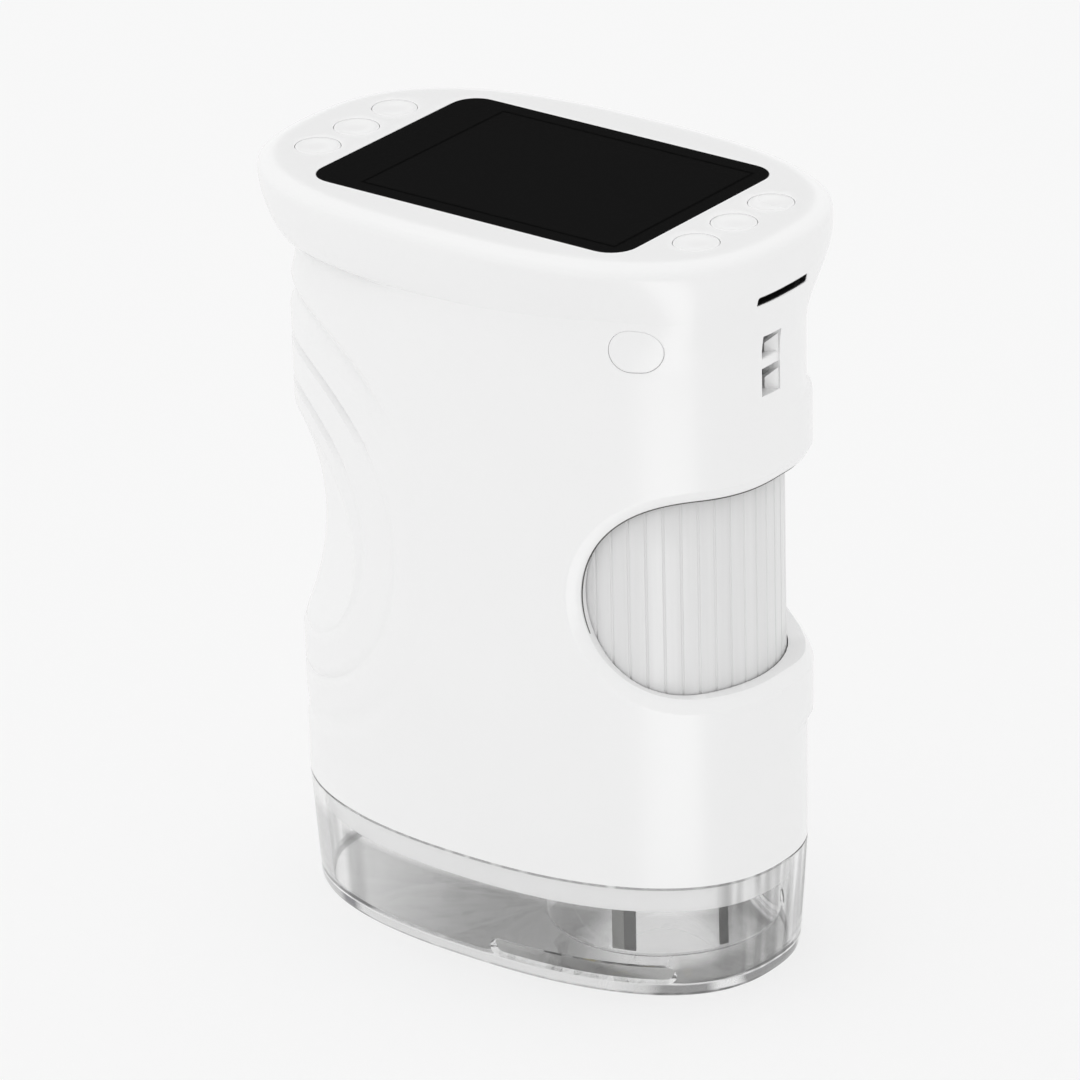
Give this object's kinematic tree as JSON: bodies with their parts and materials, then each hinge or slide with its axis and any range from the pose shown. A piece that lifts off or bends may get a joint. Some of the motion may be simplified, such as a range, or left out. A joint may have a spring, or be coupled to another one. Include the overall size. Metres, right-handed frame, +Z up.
{
  "type": "lcd digital microscope",
  "caption": "Handheld digital microscope with a flat screen on top, round keys beside it, a ribbed focus wheel in one end and a clear standing base that takes a glass slide.",
  "frame": {"origin": "on the ground, under the middle of the body", "axes": "+Z up, +X along the body's length towards the focus wheel, -Y towards the front face with the oval button"},
  "size_m": [0.0798, 0.0508, 0.107],
  "materials": {
    "clear_plastic": "clear moulded plastic, polished",
    "white_plastic": "white moulded plastic, satin",
    "key_plastic": "white moulded plastic, satin",
    "wheel_plastic": "light grey moulded plastic, matt",
    "black_glass": "black-backed cover glass, smooth",
    "display_black": "display panel, dark when off",
    "display_metal": "pressed steel frame",
    "circuit_board": "green solder mask",
    "component_black": "black moulded component bodies",
    "frame_plastic": "grey moulded plastic, matt",
    "barrel_plastic": "black moulded plastic, matt",
    "lens_glass": "coated optical glass",
    "flex_film": "amber flexible circuit",
    "battery_wrap": "plain wrapped battery",
    "lamp_board_white": "white solder mask",
    "led_resin": "yellow resin over white lamps",
    "socket_steel": "stamped steel",
    "screw_steel": "plain steel screws"
  },
  "bodies": {
    "base": {"clear_base": "clear_plastic"},
    "housing": {"front_shell": "white_plastic", "rear_shell": "white_plastic", "head_cover": "white_plastic", "cover_glass": "black_glass", "display_panel": "display_black", "display_frame": "display_metal", "main_board": "circuit_board", "button_switches": "component_black", "side_switch": "component_black", "inner_frame": "frame_plastic", "sensor_board": "circuit_board", "image_sensor": "component_black", "sensor_flex": "flex_film", "battery": "battery_wrap", "battery_tray": "frame_plastic", "lamp_board": "lamp_board_white", "lamp_leds": "led_resin", "bottom_plate": "white_plastic", "light_sleeve": "clear_plastic", "lens_window": "clear_plastic", "charge_socket": "socket_steel", "card_socket": "socket_steel", "lanyard_bar": "white_plastic", "shell_screws": "screw_steel", "plate_screws": "screw_steel", "board_screws": "screw_steel"},
    "wheel": {"focus_wheel": "wheel_plastic"},
    "lens_carrier": {"lens_barrel": "barrel_plastic", "objective_lens": "lens_glass", "rear_lens": "lens_glass", "lens_ring": "barrel_plastic"},
    "key_left_front": {"left_button_front": "key_plastic"},
    "key_left_middle": {"left_button_middle": "key_plastic"},
    "key_left_rear": {"left_button_rear": "key_plastic"},
    "key_right_front": {"right_button_front": "key_plastic"},
    "key_right_middle": {"right_button_middle": "key_plastic"},
    "key_right_rear": {"right_button_rear": "key_plastic"},
    "key_side": {"side_button": "key_plastic"}
  },
  "joints": [
    {"name": "body_lift", "type": "slide", "parent": "base", "child": "housing", "axis": [0, 0, 1], "range_m": [0, 0.03]},
    {"name": "wheel_turn", "type": "hinge", "parent": "housing", "child": "wheel", "pos_m": [0.0176, 0, 0.0581], "axis": [0, 0, 1], "range_deg": [-135, 135]},
    {"name": "lens_slide", "type": "slide", "parent": "housing", "child": "lens_carrier", "axis": [0, 0, 1], "range_m": [-0.0032, 0.0032]},
    {"name": "left_front_press", "type": "slide", "parent": "housing", "child": "key_left_front", "axis": [0, 0, -1], "range_m": [0, 0.0005], "stiffness_N_per_m": 2500, "springref_m": -0.0002},
    {"name": "left_middle_press", "type": "slide", "parent": "housing", "child": "key_left_middle", "axis": [0, 0, -1], "range_m": [0, 0.0005], "stiffness_N_per_m": 2500, "springref_m": -0.0002},
    {"name": "left_rear_press", "type": "slide", "parent": "housing", "child": "key_left_rear", "axis": [0, 0, -1], "range_m": [0, 0.0005], "stiffness_N_per_m": 2500, "springref_m": -0.0002},
    {"name": "right_front_press", "type": "slide", "parent": "housing", "child": "key_right_front", "axis": [0, 0, -1], "range_m": [0, 0.0005], "stiffness_N_per_m": 2500, "springref_m": -0.0002},
    {"name": "right_middle_press", "type": "slide", "parent": "housing", "child": "key_right_middle", "axis": [0, 0, -1], "range_m": [0, 0.0005], "stiffness_N_per_m": 2500, "springref_m": -0.0002},
    {"name": "right_rear_press", "type": "slide", "parent": "housing", "child": "key_right_rear", "axis": [0, 0, -1], "range_m": [0, 0.0005], "stiffness_N_per_m": 2500, "springref_m": -0.0002},
    {"name": "side_press", "type": "slide", "parent": "housing", "child": "key_side", "axis": [-0.4772, 0.8788, 0], "range_m": [0, 0.0005], "stiffness_N_per_m": 2500, "springref_m": -0.0002}
  ],
  "couplings": [
    {"joint": "lens_slide", "follows": "wheel_turn", "m_per_rad": 0.0012732}
  ]
}
